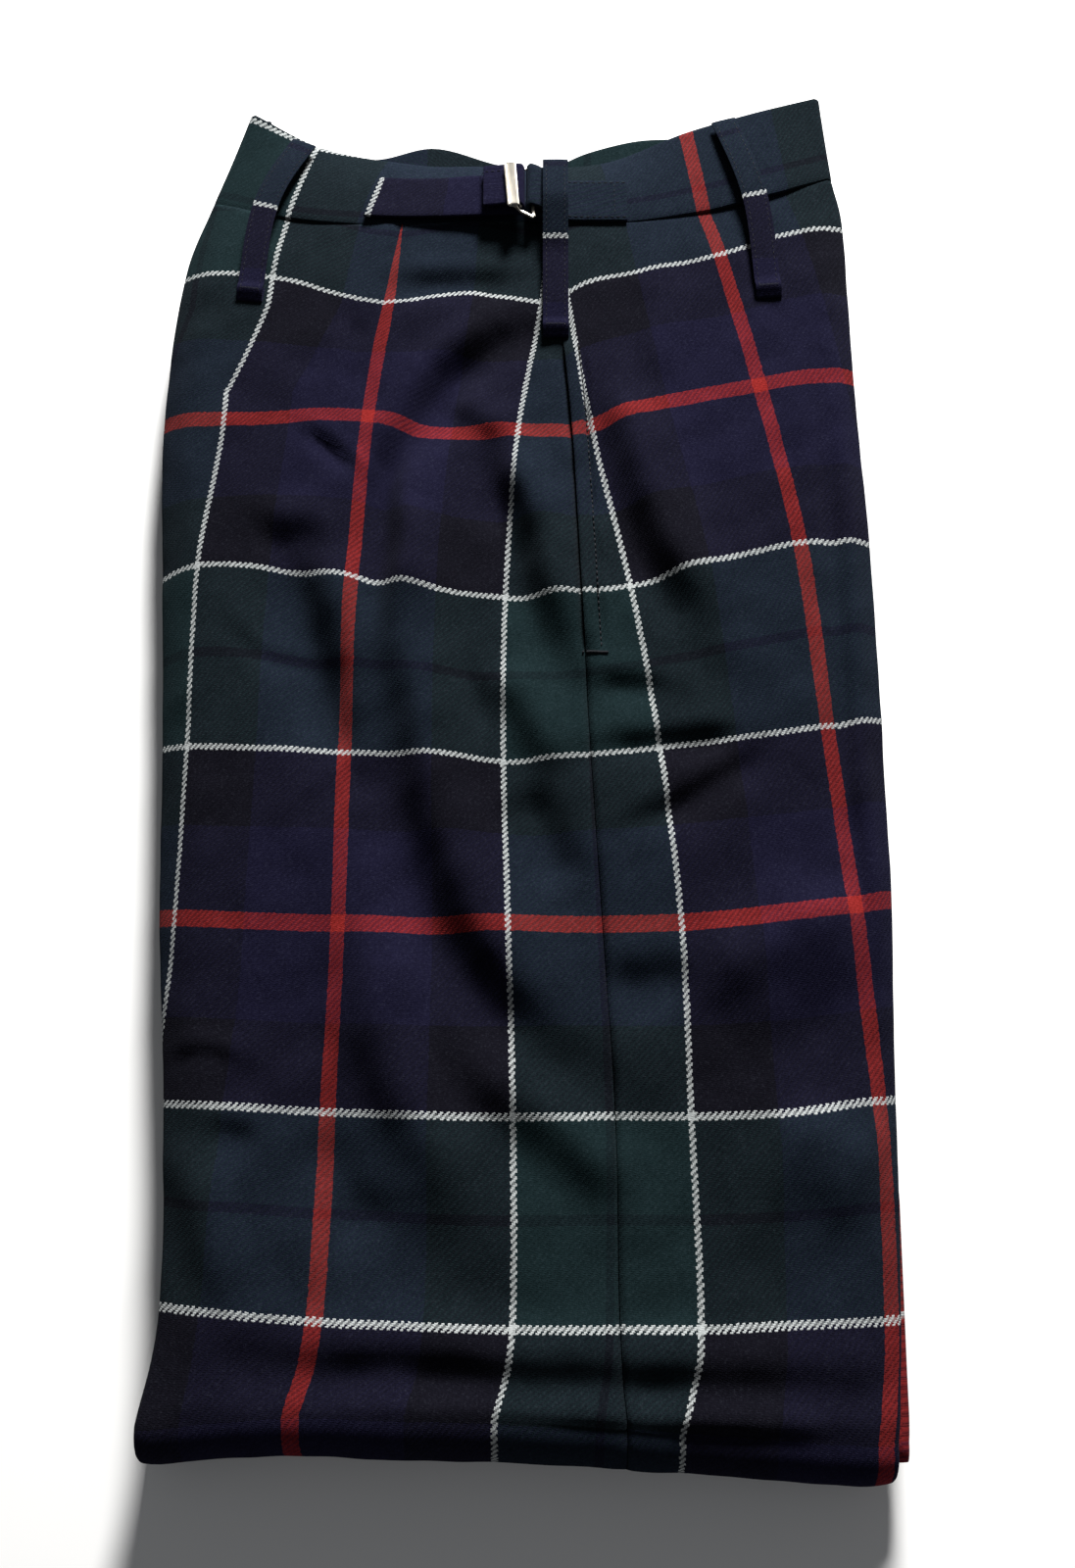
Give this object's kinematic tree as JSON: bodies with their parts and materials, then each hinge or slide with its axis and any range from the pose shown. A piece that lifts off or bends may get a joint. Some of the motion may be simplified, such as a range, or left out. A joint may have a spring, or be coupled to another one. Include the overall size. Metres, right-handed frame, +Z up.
{
  "type": "tartan trews",
  "caption": "Tartan trousers with a high waistband, side adjuster and belt loops, folded flat along the leg creases and once across the legs.",
  "frame": {"origin": "middle of the bounding box in plan, on the surface that the folded garment rests on", "axes": "+Y from the fold across the legs to the waist, +X from the back of the garment to its front, +Z up"},
  "size_m": [0.3232, 0.6188, 0.038],
  "materials": {
    "wool": "matt woollen 2/2 twill, woven as a tartan in dark blue, black and dark green with thin white and red lines",
    "nickel": "satin nickel plate"
  },
  "bodies": {
    "root": {"back_panel": "wool", "front_panel": "wool", "inner_layers": "wool", "waistband_back": "wool", "waistband_front": "wool", "waistband_left": "wool", "belt_loop_back": "wool", "belt_loop_side": "wool", "belt_loop_front": "wool", "adjuster_strap": "wool", "adjuster_tab": "wool", "buckle_frame": "nickel", "buckle_bar": "nickel"}
  },
  "joints": []
}
